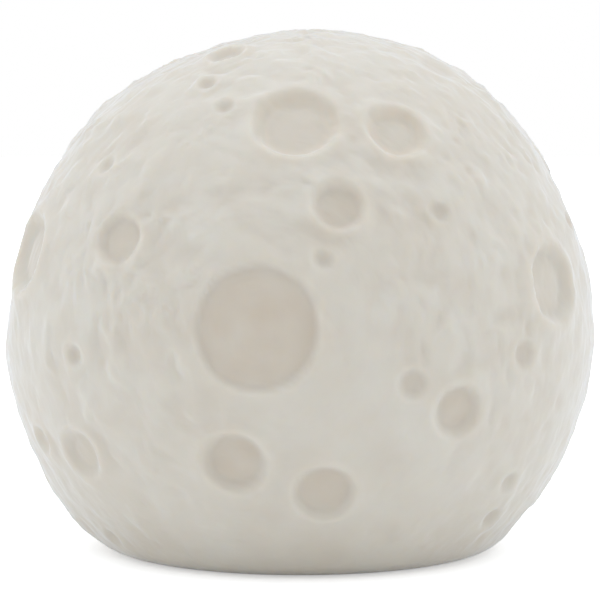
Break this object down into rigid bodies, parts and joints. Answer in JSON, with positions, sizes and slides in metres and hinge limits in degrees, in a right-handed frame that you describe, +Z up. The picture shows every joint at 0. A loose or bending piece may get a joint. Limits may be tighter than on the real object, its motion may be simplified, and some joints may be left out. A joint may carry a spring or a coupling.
{
  "type": "moon lamp",
  "caption": "Battery night lamp: a hollow soft vinyl ball with moon craters on a flat foot, closed below by a plug with a battery door, slide switch and lamp board.",
  "frame": {"origin": "middle of the flat foot, on the table", "axes": "+Z up; -Y is the front, with the widest flat crater; +X is to the right seen from the front"},
  "size_m": [0.145, 0.1453, 0.1276],
  "materials": {
    "soft_vinyl": "matte warm white soft PVC, rotocast",
    "white_abs": "fine spark-eroded texture",
    "grey_abs": "fine texture",
    "zinc_plated_steel": "bright zinc",
    "nickel_plated_steel": "bright nickel",
    "brass": "machined",
    "foam": "open cell foam",
    "black_nylon": "moulded",
    "cell_jacket": "plain printed sleeve",
    "circuit_board": "green solder mask",
    "white_circuit_board": "white solder mask",
    "lamp_phosphor": "silicone over phosphor",
    "black_epoxy": "moulded epoxy",
    "frosted_polycarbonate": "opal, frosted",
    "red_pvc": "extruded",
    "black_pvc": "extruded",
    "yellow_pvc": "extruded"
  },
  "bodies": {
    "lamp": {"moon_shell": "soft_vinyl", "base_plug": "white_abs", "inner_cover": "white_abs", "long_screws": "zinc_plated_steel", "door_nut": "brass", "cell_left": "cell_jacket", "cell_middle": "cell_jacket", "cell_right": "cell_jacket", "contact_positive": "nickel_plated_steel", "contact_negative": "nickel_plated_steel", "contact_link_rear": "nickel_plated_steel", "contact_link_front": "nickel_plated_steel", "cell_springs": "nickel_plated_steel", "switch_can": "nickel_plated_steel", "switch_board": "circuit_board", "switch_board_screws": "zinc_plated_steel", "lamp_board": "white_circuit_board", "lamp_chips": "lamp_phosphor", "board_chips": "black_epoxy", "lamp_board_screws": "zinc_plated_steel", "light_spreader": "frosted_polycarbonate", "lead_red": "red_pvc", "lead_black": "black_pvc", "switch_leads": "yellow_pvc"},
    "door": {"battery_door": "white_abs", "door_foam": "foam", "door_screw": "zinc_plated_steel", "door_screw_ring": "black_nylon"},
    "switch": {"switch_knob": "grey_abs", "switch_lever": "black_nylon"}
  },
  "joints": [
    {"name": "battery_door_hinge", "type": "hinge", "parent": "lamp", "child": "door", "pos_m": [0, -0.02756, 0.0023], "axis": [-1, 0, 0], "range_deg": [0, 85]},
    {"name": "switch_slide", "type": "slide", "parent": "lamp", "child": "switch", "axis": [0, 1, 0], "range_m": [-0.002, 0.002]}
  ]
}
